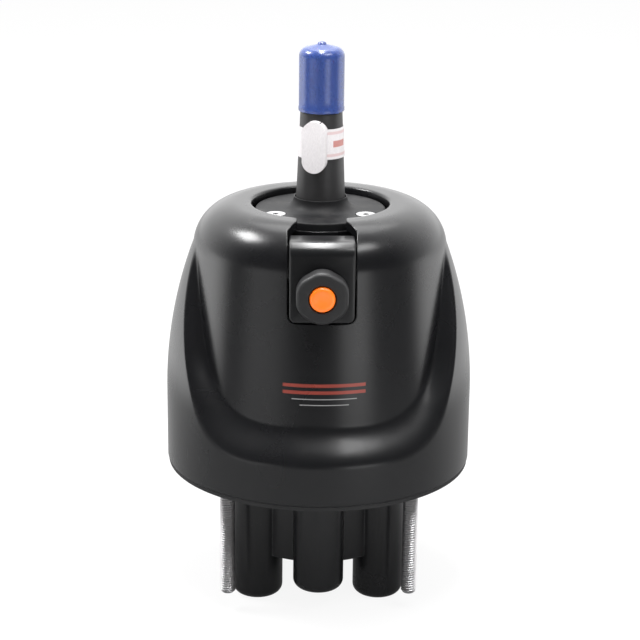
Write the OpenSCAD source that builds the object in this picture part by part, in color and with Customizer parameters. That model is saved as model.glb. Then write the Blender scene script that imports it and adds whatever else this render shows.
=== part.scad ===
// Hydraulic helm pump for boat steering: bell cover, filler, tapered shaft,
// seven-lobed rear casting and the axial piston works inside.
// Millimetres, +Z towards the wheel. The origin is where the shaft axis meets
// the dash face. The filler is at the front, on -Y.

/* [View] */
// Node to draw, or all of them

/* [Bell cover] */
// Outer radius at the dash
bell_r = 61; // [60:0.5:66]
// Height of the well rim above the dash
bell_h = 106; // [103:0.5:115]
// Radius of the round well in the top
well_r = 27; // [26.5:0.5:30]
// Flat land between the well and the shoulder
top_land = 5.5; // [4:0.5:6]
// How much the dome narrows up to its shoulder
dome_draw = 2.9; // [2.5:0.1:4]
// Wall of the dome
bell_wall = 3.5; // [2.5:0.25:3.75]
// Height of the skirt below the scoop
skirt_h = 19.5; // [18:0.5:22]
// Depth of the scoop at its shelf
scoop_depth = 8.1; // [7:0.1:9]
// Height over which the shelf runs out into the dome
shelf_rise = 13.5; // [11:0.5:16]
// Radius of the long curve of the side wings
wing_arc_r = 170; // [160:5:185]
// Height where that curve starts
wing_z = 30; // [26:1:34]
// Corner radius of the scoop outline
scoop_corner_r = 24; // [18:1:26]
// Lean of the wing edges from upright
wing_lean = 21; // [18:1:24]
// Turn of the wing walls about the shaft axis
wing_wall_turn = 112; // [106:1:118]

/* [Dash fixing] */
// Thickness of the dash gasket
gasket_t = 1.6; // [1:0.2:2.4]
// Radius of the hole in the dash
dash_hole_r = 43; // [42:0.5:44]
// How far the stud circle lies outside the middle of the dash ring
stud_shift = 0.8; // [0:0.1:1.2]
// Major radius of the studs
stud_r = 3; // [2.5:0.25:3.25]
// Reach of the studs behind the dash face
stud_reach = 44.8; // [30:0.2:60]

/* [Rear casting] */
// Number of lobes
lobe_count = 7; // [7:1:7]
// Gap between the lobes and the edge of the dash hole
lobe_room = 2; // [1.5:0.1:2.5]
// Radius of each lobe
lobe_r = 10; // [9.5:0.1:10.4]
// Reach of the long lobes behind the dash face
leg_depth = 52; // [46:0.2:60]
// Reach of the short front lobe
front_lobe_depth = 44.4; // [40:0.2:46]
// Rounding of the lobe ends
lobe_end_r = 3.5; // [2:0.25:3.75]
// How far the core reaches past the ring of lobe centres
core_over = 2; // [1:0.25:3]
// Reach of the core behind the dash face
core_depth = 33.4; // [31:0.2:38]
// Radius of the threaded ports
port_r = 6.25; // [5.5:0.25:6.5]
// Depth of the threaded ports
port_depth = 15; // [12:0.5:16]

/* [Shaft] */
// Radius in the bearing
shaft_r = 10; // [9.9:0.1:10]
// Radius at the large end of the taper
taper_r = 9.7; // [9.5:0.05:9.8]
// Length of the taper
taper_len = 36; // [34:0.5:40]
// Length per unit change of diameter
taper_ratio = 12; // [12:1:16]
// Length of the threaded end
thread_len = 23; // [20:0.5:30]
// Pitch of the threaded end
thread_pitch = 1.5; // [1.25:0.05:2]
// Width of the woodruff key
key_w = 4.76; // [4:0.02:5]
// Turn of the key from the front towards the left
key_turn = 16; // [0:1:30]
// Wall of the thread cap
cap_wall = 0.85; // [0.6:0.05:1.2]

/* [Filler] */
// Width of the filler block
block_w = 24.4; // [23:0.2:26]
// How far its front face stands proud of the dome
block_proud = 1.3; // [0.5:0.1:2.5]
// Size across the flats of the vent plug
plug_af = 19.5; // [18:0.5:21]
// Height of the vent plug head
plug_head = 6.4; // [5:0.2:8]
// Radius of the vent button
button_r = 4.8; // [4:0.1:5.6]

/* [Pump works] */
// Number of pistons
piston_count = 7; // [5:2:7]
// Distance of the pistons in from the edge of the rotor
piston_inset = 9; // [8.5:0.25:9.5]
// Radius of each piston
piston_r = 6; // [5.5:0.1:6.2]
// Tilt of the swash plate
swash_tilt = 12; // [8:0.5:13]
// Gap between the rotor and its chamber
rotor_room = 5; // [4:0.5:6]
// Height of the rotor
rotor_h = 38; // [36:0.5:40]

/* [Clearances] */
// Gap of a seated or pressed fit
press_gap = 0.02; // [0.01:0.01:0.03]
// Radial gap of a running fit
run_gap = 0.05; // [0.02:0.01:0.08]
// Gap between faces that pass each other freely
free_gap = 0.3; // [0.2:0.05:0.5]
// Gap between the filler block and its slot
slot_gap = 0.8; // [0.4:0.1:1.2]

/* [Hidden] */
$fn = 64;
// Heights of the joints between the castings
rear_flange_t = 4.4;
front_flange_t = 6;
z_split = gasket_t + rear_flange_t;
z_flange = z_split + front_flange_t;
// Bell cover
skirt_in_r = bell_r - 3.6;
flange_r = skirt_in_r - 0.4;
stud_pcd = dash_hole_r + flange_r + 2 * stud_shift;
dome_foot_r = bell_r - scoop_depth;
dome_top_r = dome_foot_r - dome_draw;
land_r = well_r + top_land;
shoulder_r = dome_top_r - land_r;
shoulder_z = bell_h - shoulder_r;
wing_top_z = min(shoulder_z + 12, bell_h - 5.5);
shelf_z = skirt_h + shelf_rise;
shelf_arc_r = (scoop_depth * scoop_depth + shelf_rise * shelf_rise) / (2 * scoop_depth);
bell_in_top_r = dome_top_r - bell_wall;
bell_in_foot_r = dome_foot_r - bell_wall - 0.4;
bell_core_r = dome_top_r - 10;
rim_chamfer = 1;
// Scoop outline, in the plane square to the wing wall
edge_u = -0.2148 * bell_r;
edge_z = 35;
corner_z = skirt_h + scoop_corner_r;
corner_u = edge_u - (scoop_corner_r - sin(wing_lean) * (corner_z - edge_z)) / cos(wing_lean);
// Stack from the top of the well down
plate_t = 3;
plate_z = bell_h - 2.5;
z_body_top = plate_z - plate_t;
seal_h = 7;
top_boss_r = well_r - 0.8;
retainer_screw_ring = top_boss_r - 6;
seal_r = retainer_screw_ring - 2.7;
seal_z = z_body_top - seal_h - 0.1;
web_t = 2;
bearing_w = 12;
bearing_r = 21;
bearing_z1 = seal_z - web_t;
bearing_z0 = bearing_z1 - bearing_w;
bearing_mid = (bearing_z0 + bearing_z1) / 2;
ball_ring_r = 15.5;
ball_r = 3.1;
ball_count = 9;
collar_h = 4.9;
// Front housing
body_room = 2.5;
body_wall = 6;
body_r = dome_top_r - bell_wall - body_room;
seal_ring_r = body_r - 3;
cavity_r = body_r - body_wall;
chamber_r = cavity_r - 2;
hub_r = bearing_r + 4.5;
body_edge_z = shoulder_z - 2;
boss_z = z_body_top - 4.6;
body_slope = (boss_z - body_edge_z) / (body_r - top_boss_r - 4.8);
roof_wall = 3;
roof_z = body_edge_z + body_slope * (body_r - chamber_r - roof_wall);
hub_room_top = min(bearing_z0 + 7.5, roof_z);
fill_z = bell_h - 22.5;
pad_w = 22;
dome_slope = (dome_top_r - dome_foot_r) / (shoulder_z - shelf_z);
block_face = dome_foot_r + dome_slope * (fill_z - shelf_z) + block_proud;
pad_face = block_face - 7;
// Filler block
block_z0 = fill_z - 11.6;
block_z1 = bell_h - 3.5;
block_back = pad_face - 6;
block_round = 5.4;
spigot_r = 9.6;
shank_r = 7.5;
plug_lift = 1.6;
plug_corner_r = 0.533 * plug_af;
stud_root_r = stud_r - 0.25;
// Rear casting
lobe_ring_r = dash_hole_r - lobe_r - lobe_room;
core_r = lobe_ring_r + core_over;
valve_y = lobe_ring_r * sin(-90 + 2 * 360 / lobe_count);
valve_z = -20;
valve_r = 6;
valve_plug_r = 7;
valve_end = 33.5;
bush_r = 10.5;
bush_z0 = -9;
feed_x = 12.8;
// Pump works
rotor_r = cavity_r - rotor_room;
piston_ring_r = rotor_r - piston_inset;
valve_plate_t = 2.5;
rotor_z = z_split + valve_plate_t + 0.1;
rotor_top = rotor_z + rotor_h;
bore_floor = rotor_z + 8;
race_t = 3;
swash_r = chamber_r - 0.5;
swash_hole_r = 15;
swash_z = bearing_z0 - 3.2 - swash_r * tan(swash_tilt);
piston_z = swash_z - race_t / cos(swash_tilt) - piston_ring_r * tan(swash_tilt)
    - (piston_r + free_gap) / cos(swash_tilt);
piston_foot = bore_floor + 8;
cup_r = piston_r - 1.7;
hex_r = 9.8;
tail_r = 8;
// Shaft end
taper_z = plate_z + 2.4;
taper_top = taper_z + taper_len;
taper_small_r = taper_r - taper_len / taper_ratio / 2;
thread_r = taper_small_r - 0.22;
shaft_end = taper_top + thread_len;
key_disc_r = 9.5;
key_z = taper_z + 0.66 * taper_len;
key_top = taper_r + 1.2;
key_axis = key_top + 1.5;
label_t = 0.3;
label_z0 = taper_z + 0.52 * taper_len;
label_z1 = taper_z + 0.845 * taper_len;
pad_long = 20.2;
pad_wide = 9.3;
cap_r = thread_r + 0.1 + cap_wall;
cap_nub = 0.9;
// Screws
housing_screw_ring = flange_r - 7.5;
cover_screw_ring = flange_r - 4.6;

// Radius of the taper at height z
function taper_at(z) = taper_r - (z - taper_z) / taper_ratio / 2;

module ring(outer, inner, h) {
    difference() {
        cylinder(r = outer, h = h);
        translate([0, 0, -1])
            cylinder(r = inner, h = h + 2);
    }
}

// Square outline from corner a to corner b
module box2(a, b) {
    translate(a)
        square([b[0] - a[0], b[1] - a[1]]);
}

// Rectangle from z0 up to z1 with both lower corners rounded
module foot_round(half, z0, z1, r) {
    box2([-half, z0 + r], [half, z1]);
    box2([-half + r, z0], [half - r, z0 + r]);
    for (s = [-1, 1])
        translate([s * (half - r), z0 + r])
            circle(r);
}

module at_studs() {
    for (i = [0:3])
        rotate([0, 0, 45 + 90 * i])
            translate([stud_pcd / 2, 0, 0])
                children();
}

module at_housing_screws() {
    for (i = [0:5])
        rotate([0, 0, 60 * i])
            translate([housing_screw_ring, 0, 0])
                children();
}

module at_cover_screws() {
    for (a = [20, 160, 200, 340])
        rotate([0, 0, a])
            translate([cover_screw_ring, 0, 0])
                children();
}

module at_retainer_screws() {
    for (a = [-30, 90, 210])
        rotate([0, 0, a])
            translate([retainer_screw_ring, 0, 0])
                children();
}

module at_lobe(i) {
    rotate([0, 0, -90 + 360 / lobe_count * i])
        translate([lobe_ring_r, 0, 0])
            rotate([0, 0, 90 - 360 / lobe_count * i])
                children();
}

module at_pistons() {
    for (i = [0:piston_count - 1])
        rotate([0, 0, 360 / piston_count * i])
            translate([piston_ring_r, 0, 0])
                children();
}

// Places along the lock valve, with local +Z pointing outwards on that side
module along_valve(side) {
    translate([0, valve_y, valve_z])
        rotate([0, 90 * side, 0])
            children();
}

// Places on the filler axis, with local +Z pointing out at the front
module on_filler() {
    translate([0, 0, fill_z])
        rotate([90, 0, 0])
            children();
}

// Flat-head screw with its face at z 0 and its shank up +Z
module flat_screw(shank, head, length, socket) {
    difference() {
        union() {
            cylinder(r1 = head, r2 = shank, h = head - shank);
            cylinder(r = shank, h = length);
        }
        translate([0, 0, -0.5])
            cylinder(r = socket, h = 0.5 + 0.7 * (head - shank), $fn = 6);
    }
}

// The hole it sits in
module flat_hole(shank, head, length) {
    translate([0, 0, -0.5])
        cylinder(r1 = head + 0.55, r2 = shank + 0.05, h = head - shank + 0.5);
    translate([0, 0, -0.5])
        cylinder(r = shank + press_gap, h = length + 1);
}

// Wire spring standing on z 0, as a tube of straight lengths round a helix
module wire_spring(mean_r, wire_r, length, turns) {
    steps = 10 * turns;
    sides = 4;
    points = [for (i = [0:steps]) for (k = [0:sides - 1])
        let (a = 36 * i, b = 360 / sides * k + 45)
        [(mean_r + wire_r * cos(b)) * cos(a), (mean_r + wire_r * cos(b)) * sin(a),
            wire_r + (length - 2 * wire_r) * i / steps + wire_r * sin(b)]];
    walls = [for (i = [0:steps - 1]) for (k = [0:sides - 1]) for (half = [0, 1])
        let (a = i * sides + k, b = i * sides + (k + 1) % sides)
        half == 0 ? [a, b, b + sides] : [a, b + sides, a + sides]];
    first = [for (k = [1:sides - 2]) [0, k + 1, k]];
    end = steps * sides;
    last = [for (k = [1:sides - 2]) [end, end + k, end + k + 1]];
    polyhedron(points = points, faces = concat(walls, first, last));
}

// Bell cover

module dome_outline() {
    difference() {
        box2([bell_core_r, gasket_t], [bell_r, shelf_z]);
        translate([dome_foot_r + shelf_arc_r, shelf_z])
            circle(shelf_arc_r);
    }
    polygon([[bell_core_r, shelf_z], [dome_foot_r, shelf_z], [dome_top_r, shoulder_z],
        [bell_core_r, shoulder_z]]);
    intersection() {
        translate([land_r, shoulder_z])
            circle(shoulder_r);
        box2([20, shoulder_z], [80, bell_h + 5]);
    }
    box2([20, shoulder_z], [land_r, bell_h]);
}

module wing_outline() {
    box2([bell_core_r, gasket_t], [bell_r, wing_z]);
    intersection() {
        translate([bell_r - wing_arc_r, wing_z])
            circle(wing_arc_r);
        box2([bell_core_r, wing_z], [bell_r + 5, wing_top_z]);
    }
}

// What the scoop leaves out, seen along the wing wall
module scoop_outline() {
    tip_u = corner_u + scoop_corner_r * cos(wing_lean);
    tip_z = corner_z - scoop_corner_r * sin(wing_lean);
    top_z = bell_h + 5;
    polygon([[-90, skirt_h], [corner_u, skirt_h], [corner_u, corner_z], [tip_u, tip_z],
        [tip_u + (top_z - tip_z) * tan(wing_lean), top_z], [-90, top_z]]);
    translate([corner_u, corner_z])
        circle(scoop_corner_r);
}

module scoop_quarter() {
    rotate([90, 0, wing_wall_turn])
        translate([0, 0, -bell_r - 19])
            linear_extrude(bell_r)
                scoop_outline();
}

module side_wings() {
    difference() {
        rotate_extrude()
            wing_outline();
        for (mx = [0, 1])
            for (my = [0, 1])
                mirror([mx, 0, 0])
                    mirror([0, my, 0])
                        scoop_quarter();
    }
}

module bell_inside() {
    box2([0, -1], [skirt_in_r, z_flange]);
    polygon([[0, z_flange], [bell_in_foot_r, z_flange], [bell_in_top_r, shoulder_z], [0, shoulder_z]]);
    intersection() {
        translate([land_r, shoulder_z])
            circle(shoulder_r - bell_wall);
        box2([0, shoulder_z], [80, bell_h]);
    }
    box2([0, shoulder_z], [land_r, bell_h - bell_wall]);
    box2([0, shoulder_z], [well_r, bell_h + 1]);
}

module filler_slot() {
    half = block_w / 2 + slot_gap;
    neck = 9.3;
    translate([0, -block_back + 0.6, 0])
        rotate([90, 0, 0])
            linear_extrude(40)
                foot_round(half, block_z0 - slot_gap, bell_h + 2, 3);
    translate([0, 0, shoulder_z])
        linear_extrude(40)
            polygon([[-neck, -18], [neck, -18], [neck, -well_r - 4], [half, -block_back],
                [-half, -block_back], [-neck, -well_r - 4]]);
}

module bell_cover() {
    color("#1b1c1f")
        difference() {
            union() {
                rotate_extrude()
                    dome_outline();
                side_wings();
            }
            rotate_extrude()
                bell_inside();
            translate([0, 0, bell_h - rim_chamfer])
                cylinder(r1 = well_r - 0.01, r2 = well_r + rim_chamfer + 0.2, h = rim_chamfer + 0.2);
            filler_slot();
            at_cover_screws()
                cylinder(r = 1.75 + press_gap, h = z_flange + 10);
        }
}

module cover_screws() {
    color("#8d9095")
        at_cover_screws()
            translate([0, 0, gasket_t])
                flat_screw(1.75, 3.3, z_flange - gasket_t + 9, 1.1);
}

module dash_gasket() {
    color("#101113")
        difference() {
            ring(bell_r - 0.4, dash_hole_r, gasket_t);
            at_studs()
                translate([0, 0, -1])
                    cylinder(r = stud_r + 0.1, h = gasket_t + 2);
        }
}

// Castings

module front_housing() {
    color("#232427")
        difference() {
            union() {
                translate([0, 0, z_split])
                    cylinder(r = flange_r, h = front_flange_t);
                rotate_extrude()
                    polygon([[0, z_split], [body_r, z_split], [body_r, body_edge_z],
                        [top_boss_r + 4.8, boss_z], [top_boss_r, boss_z],
                        [top_boss_r, z_body_top], [0, z_body_top]]);
                translate([-pad_w / 2, -pad_face, block_z0 + 0.6])
                    cube([pad_w, pad_face - chamber_r, 2 * (fill_z - block_z0 - 0.6)]);
            }
            translate([0, 0, z_split - 1])
                cylinder(r = cavity_r, h = bearing_z0 - z_split + 1);
            difference() {
                translate([0, 0, bearing_z0 - 5])
                    cylinder(r = chamber_r, h = hub_room_top - bearing_z0 + 5);
                translate([0, 0, bearing_z0])
                    cylinder(r = hub_r, h = 20);
            }
            translate([0, 0, bearing_z0 - 1])
                cylinder(r = bearing_r + press_gap, h = bearing_w + 1);
            translate([0, 0, bearing_z0])
                cylinder(r = 15, h = 30);
            translate([0, 0, seal_z])
                cylinder(r = seal_r + press_gap, h = seal_h + 1);
            at_retainer_screws()
                translate([0, 0, z_body_top - 7])
                    cylinder(r = 2 + press_gap, h = 8);
            on_filler() {
                translate([0, 0, chamber_r - 6])
                    cylinder(r = 6, h = 20);
                translate([0, 0, pad_face - 4.4])
                    cylinder(r = spigot_r + press_gap, h = 20);
            }
            at_studs()
                translate([0, 0, z_split - 1])
                    cylinder(r = stud_root_r + press_gap, h = front_flange_t);
            at_housing_screws()
                translate([0, 0, z_split - 1])
                    cylinder(r = 2.5 + press_gap, h = front_flange_t + 0.2);
            at_cover_screws()
                translate([0, 0, z_split - 1])
                    cylinder(r = 1.75 + 0.15, h = front_flange_t + 2);
        }
}

// One lobe standing up from its rounded end
module lobe(depth) {
    rotate_extrude() {
        box2([0, -depth], [lobe_r - lobe_end_r, -depth + lobe_end_r]);
        box2([0, -depth + lobe_end_r], [lobe_r, gasket_t + 1]);
        intersection() {
            translate([lobe_r - lobe_end_r, -depth + lobe_end_r])
                circle(lobe_end_r);
            box2([lobe_r - lobe_end_r, -depth - 1], [lobe_r + 1, -depth + lobe_end_r]);
        }
    }
}

// Passages that run through the flange into the lobed part
module rear_passages() {
    translate([0, 0, bush_z0])
        cylinder(r = bush_r + press_gap, h = 30);
    for (side = [-1, 1])
        translate([side * feed_x, valve_y, valve_z])
            cylinder(r = 1.9, h = z_split - valve_z - 1);
    at_lobe(0)
        translate([0, -3.2, -front_lobe_depth + 2])
            cylinder(r = 2.4, h = 80);
}

module rear_flange() {
    color("#232427")
        difference() {
            translate([0, 0, gasket_t])
                cylinder(r = flange_r, h = rear_flange_t);
            rear_passages();
            for (side = [-1, 1])
                translate([side * (feed_x + 6) - 7.5, valve_y - 1.9, z_split - 3])
                    cube([15, 3.8, 5]);
            translate([0, 0, z_split - 1.7])
                ring(seal_ring_r + 1.2, seal_ring_r - 1.2, 3);
            at_studs()
                cylinder(r = stud_root_r + press_gap, h = 20);
            at_housing_screws()
                translate([0, 0, gasket_t])
                    flat_hole(2.5, 5, 20);
            at_cover_screws()
                translate([0, 0, gasket_t])
                    flat_hole(1.75 + 0.13, 3.3, 20);
        }
}

module rear_housing() {
    color("#232427")
        difference() {
            union() {
                translate([0, 0, -core_depth])
                    cylinder(r = core_r, h = core_depth + gasket_t + 2);
                for (i = [0:lobe_count - 1])
                    at_lobe(i)
                        lobe(i == 0 ? front_lobe_depth : leg_depth);
            }
            translate([-60, -60, gasket_t])
                cube([120, 120, 10]);
            rear_passages();
            for (side = [-1, 1])
                along_valve(side) {
                    translate([0, 0, -1])
                        cylinder(r = valve_r, h = valve_end + 1);
                    translate([0, 0, valve_end])
                        cylinder(r = valve_plug_r, h = 20);
                }
            for (i = [1, lobe_count - 1])
                at_lobe(i) {
                    translate([0, 0, -leg_depth - 1])
                        cylinder(r = port_r, h = port_depth + 1);
                    translate([0, 0, -leg_depth])
                        cylinder(r = 4, h = leg_depth + valve_z + 4);
                    translate([0, 0, valve_z])
                        rotate([-90, 0, 0])
                            cylinder(r = 2.5, h = 26);
                }
            at_lobe(0)
                translate([0, 0, -front_lobe_depth - 1])
                    cylinder(r = port_r, h = port_depth + 1);
        }
}

module housing_seal() {
    color("#17181a")
        rotate_extrude()
            translate([seal_ring_r, z_split - 0.85])
                circle(0.85, $fn = 24);
}

module housing_screws() {
    color("#8d9095")
        at_housing_screws()
            translate([0, 0, gasket_t])
                flat_screw(2.5, 5, z_flange - gasket_t - 1.2, 1.7);
}

module mounting_studs() {
    color("#b9bcc0")
        at_studs()
            translate([0, 0, -stud_reach]) {
                cylinder(r1 = stud_r - 0.7, r2 = stud_r, h = 0.7);
                translate([0, 0, 0.7])
                    cylinder(r = stud_r, h = stud_reach - 0.7);
                translate([0, 0, stud_reach - 1])
                    cylinder(r = stud_root_r, h = z_flange - 1);
            }
}

// Filler

module block_side() {
    box2([pad_face, block_z0], [block_face, block_z1 - block_round]);
    box2([block_back, fill_z + 12], [block_face - block_round, block_z1]);
    intersection() {
        translate([block_face - block_round, block_z1 - block_round])
            circle(block_round);
        box2([block_face - block_round, block_z1 - block_round], [block_face + 1, block_z1 + 1]);
    }
}

module filler_block() {
    color("#202124")
        difference() {
            union() {
                intersection() {
                    rotate([90, 0, -90])
                        linear_extrude(block_w, center = true)
                            block_side();
                    rotate([90, 0, 0])
                        linear_extrude(80)
                            foot_round(block_w / 2, block_z0, block_z1 + 1, 2.4);
                }
                on_filler()
                    translate([0, 0, pad_face - 4.3])
                        cylinder(r = spigot_r, h = 5);
            }
            on_filler()
                cylinder(r = shank_r + run_gap, h = 80);
        }
}

module vent_plug() {
    color("#151618")
        on_filler()
            difference() {
                union() {
                    translate([0, 0, block_face - 11])
                        cylinder(r = shank_r, h = 11 + plug_lift + 1);
                    intersection() {
                        translate([0, 0, block_face + plug_lift])
                            rotate([0, 0, 90])
                                cylinder(r = plug_af / sqrt(3), h = plug_head, $fn = 6);
                        translate([0, 0, block_face + plug_lift])
                            cylinder(r1 = plug_af / 2 + plug_head * 1.6, r2 = plug_af / 2, h = plug_head);
                        translate([0, 0, block_face + plug_lift - 1])
                            cylinder(r = plug_corner_r, h = plug_head + 2);
                    }
                }
                translate([0, 0, block_face + plug_lift + plug_head - 3])
                    cylinder(r = button_r + press_gap, h = 4);
                cylinder(r = 1.5, h = 90);
            }
}

module vent_button() {
    color("#f26a14")
        on_filler()
            translate([0, 0, block_face + plug_lift + plug_head - 3])
                rotate_extrude() {
                    box2([0, 0], [button_r, 2.8]);
                    box2([0, 2.8], [button_r - 1, 3.8]);
                    intersection() {
                        translate([button_r - 1, 2.8])
                            circle(1, $fn = 32);
                        box2([button_r - 1, 2.8], [button_r + 1, 5]);
                    }
                }
}

module vent_seal() {
    color("#111214")
        on_filler()
            translate([0, 0, block_face + plug_lift / 2])
                rotate_extrude()
                    translate([shank_r + plug_lift / 2 + 0.15, 0])
                        circle(plug_lift / 2, $fn = 24);
}

// Seal and bearing

module seal_retainer() {
    color("#26272a")
        difference() {
            union() {
                translate([0, 0, z_body_top])
                    cylinder(r = top_boss_r - 0.6, h = plate_t);
                translate([0, 0, plate_z - 0.5])
                    cylinder(r1 = 15, r2 = taper_r + free_gap + 0.6, h = collar_h + 0.5);
            }
            translate([0, 0, z_body_top - 1])
                cylinder(r = shaft_r + free_gap, h = taper_z - z_body_top + 1);
            translate([0, 0, z_body_top - 1])
                cylinder(r = taper_r + free_gap, h = 20);
            at_retainer_screws()
                translate([0, 0, plate_z])
                    rotate([180, 0, 0])
                        flat_hole(2, 3.9, 6);
        }
}

module retainer_screws() {
    color("#c9cbce")
        at_retainer_screws()
            translate([0, 0, plate_z])
                rotate([180, 0, 0])
                    flat_screw(2, 3.9, plate_t + 6.4, 1.3);
}

module shaft_seal() {
    color("#3a2a20")
        translate([0, 0, seal_z])
            difference() {
                ring(seal_r, shaft_r + run_gap, seal_h);
                translate([0, 0, -1])
                    ring(seal_r - 3, shaft_r + 2, seal_h - 2);
            }
}

module race_outline(inner, outer) {
    difference() {
        box2([inner, bearing_z0], [outer, bearing_z1]);
        translate([ball_ring_r, bearing_mid])
            circle(ball_r + run_gap);
    }
}

module bearing_outer() {
    color("#a9acb0")
        rotate_extrude()
            race_outline(ball_ring_r + 2.2, bearing_r);
}

module bearing_inner() {
    color("#a9acb0")
        rotate_extrude()
            race_outline(shaft_r + press_gap, ball_ring_r - 2.2);
}

module at_balls() {
    for (i = [0:ball_count - 1])
        rotate([0, 0, 360 / ball_count * i])
            translate([ball_ring_r, 0, bearing_mid])
                children();
}

module bearing_balls() {
    color("#d3d6d9")
        at_balls()
            sphere(ball_r);
}

module bearing_cage() {
    color("#b08d4a")
        difference() {
            translate([0, 0, bearing_mid + 0.9])
                ring(ball_ring_r + 1.5, ball_ring_r - 1.5, 3.8);
            at_balls()
                sphere(ball_r + 0.08);
        }
}

// Shaft

module taper_solid(grow) {
    translate([0, 0, taper_z])
        cylinder(r1 = taper_r + grow, r2 = taper_small_r + grow, h = taper_len);
}

module helm_shaft() {
    turns = floor((thread_len - 3) / thread_pitch);
    z0 = taper_top + 1.2;
    thread = [for (i = [0:turns - 1]) for (half = [0, 1])
        [thread_r - 0.8 * half, z0 + thread_pitch * (i + half / 2)]];
    color("#3b3c3f")
        difference() {
            union() {
                translate([0, 0, bush_z0 + 0.6])
                    cylinder(r = tail_r, h = rotor_z + 1 - bush_z0);
                translate([0, 0, rotor_z + 0.1])
                    cylinder(r = hex_r, h = rotor_h + 1, $fn = 6);
                rotate_extrude()
                    polygon(concat([[0, rotor_top + 0.2], [shaft_r, rotor_top + 0.2],
                        [shaft_r, bearing_z0 - 4.5], [12.6, bearing_z0 - 4.5], [12.6, bearing_z0],
                        [shaft_r, bearing_z0], [shaft_r, taper_z - 0.4], [taper_r, taper_z],
                        [taper_small_r, taper_top], [thread_r, taper_top + 0.3]],
                        thread, [[thread_r, z0 + thread_pitch * turns], [thread_r, shaft_end - 1.2],
                        [thread_r - 1.2, shaft_end], [0, shaft_end]]));
            }
            rotate([0, 0, -key_turn])
                translate([0, -key_axis, key_z])
                    rotate([0, 90, 0])
                        cylinder(r = key_disc_r + press_gap, h = key_w + 2 * press_gap, center = true);
        }
}

module shaft_key() {
    color("#9a9da1")
        rotate([0, 0, -key_turn])
            intersection() {
                translate([0, -key_axis, key_z])
                    rotate([0, 90, 0])
                        cylinder(r = key_disc_r, h = key_w, center = true);
                translate([-10, -key_top, key_z - 20])
                    cube([20, key_top, 40]);
            }
}

module shaft_label() {
    round_z = pad_long / 2 - pad_wide / 2;
    color("#eeeeec")
        difference() {
            union() {
                intersection() {
                    taper_solid(press_gap * 2 + label_t);
                    translate([0, 0, label_z0])
                        cylinder(r = 30, h = label_z1 - label_z0);
                }
                rotate([0, 0, -key_turn])
                    translate([0, 0, key_z])
                        rotate([90, 0, 0])
                            linear_extrude(key_top + 0.5) {
                                square([pad_wide, 2 * round_z], center = true);
                                for (s = [-1, 1])
                                    translate([0, s * round_z])
                                        circle(pad_wide / 2);
                            }
            }
            taper_solid(press_gap * 2);
            rotate([0, 0, -key_turn])
                translate([-key_w / 2 - 0.05, -key_top - 0.05, key_z - key_disc_r - 0.1])
                    cube([key_w + 0.1, key_top, 2 * key_disc_r + 0.2]);
        }
}

module shaft_cap() {
    round_r = 5;
    top = shaft_end + cap_wall + 0.2;
    color("#3f4aa0")
        rotate_extrude()
            difference() {
                union() {
                    box2([0, taper_top + 0.35], [cap_r, top - round_r + 2]);
                    box2([0, top - round_r + 2], [cap_r - round_r, top + 2]);
                    box2([0, top + 1], [1.8, top + 2 + cap_nub]);
                    intersection() {
                        translate([cap_r - round_r, top - round_r + 2])
                            circle(round_r);
                        box2([cap_r - round_r, top - round_r + 2], [cap_r + 1, top + 3]);
                    }
                }
                box2([-1, taper_top - 1], [thread_r + 0.1, shaft_end + 0.15]);
            }
}

// Pump works

module swash_plate() {
    color("#6e7074")
        difference() {
            union() {
                translate([0, 0, swash_z - 12])
                    cylinder(r = swash_r, h = bearing_z0 - swash_z + 12);
                translate([0, 0, bearing_z0 - 1])
                    ring(hub_r + 4, hub_r + press_gap, 5);
            }
            translate([0, 0, swash_z - 20])
                cylinder(r = swash_hole_r, h = 60);
            translate([0, 0, swash_z])
                rotate([swash_tilt, 0, 0])
                    translate([-60, -60, -60])
                        cube([120, 120, 60]);
        }
}

module swash_race() {
    color("#b4b7ba")
        translate([0, 0, swash_z])
            rotate([swash_tilt, 0, 0])
                translate([0, 0, -race_t])
                    ring(swash_r - 2.5, swash_hole_r + 0.5, race_t);
}

module cylinder_rotor() {
    color("#8a7a50")
        difference() {
            translate([0, 0, rotor_z])
                cylinder(r = rotor_r, h = rotor_h);
            translate([0, 0, rotor_z - 1])
                cylinder(r = hex_r + run_gap, h = rotor_h + 2, $fn = 6);
            at_pistons() {
                translate([0, 0, bore_floor])
                    cylinder(r = piston_r + run_gap, h = rotor_h);
                translate([0, 0, rotor_z - 1])
                    cylinder(r = 3, h = 12);
            }
        }
}

module pistons() {
    color("#b8babd")
        at_pistons()
            rotate_extrude()
                difference() {
                    union() {
                        box2([0, piston_foot], [piston_r, piston_z]);
                        intersection() {
                            translate([0, piston_z])
                                circle(piston_r);
                            box2([0, piston_z], [piston_r + 1, piston_z + piston_r + 1]);
                        }
                    }
                    box2([-1, piston_foot - 1], [cup_r, piston_z - 4]);
                }
}

module piston_springs() {
    color("#909398")
        at_pistons()
            translate([0, 0, bore_floor])
                wire_spring(cup_r - 0.95, 0.6, piston_z - 4 - bore_floor, 5);
}

module kidney(side) {
    rotate([0, 0, side > 0 ? -70 : 110])
        translate([0, 0, z_split - 1]) {
            rotate_extrude(angle = 140)
                translate([piston_ring_r - 2.6, 0])
                    square([5.2, valve_plate_t + 2]);
            for (a = [0, 140])
                rotate([0, 0, a])
                    translate([piston_ring_r, 0, 0])
                        cylinder(r = 2.3, h = valve_plate_t + 2);
        }
}

module valve_plate() {
    color("#a8a090")
        difference() {
            translate([0, 0, z_split])
                ring(rotor_r - 2.5, tail_r + free_gap, valve_plate_t);
            kidney(1);
            kidney(-1);
        }
}

module tail_bush() {
    color("#b58a45")
        translate([0, 0, bush_z0])
            ring(bush_r, tail_r + run_gap, 14);
}

// Lock valve

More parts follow.
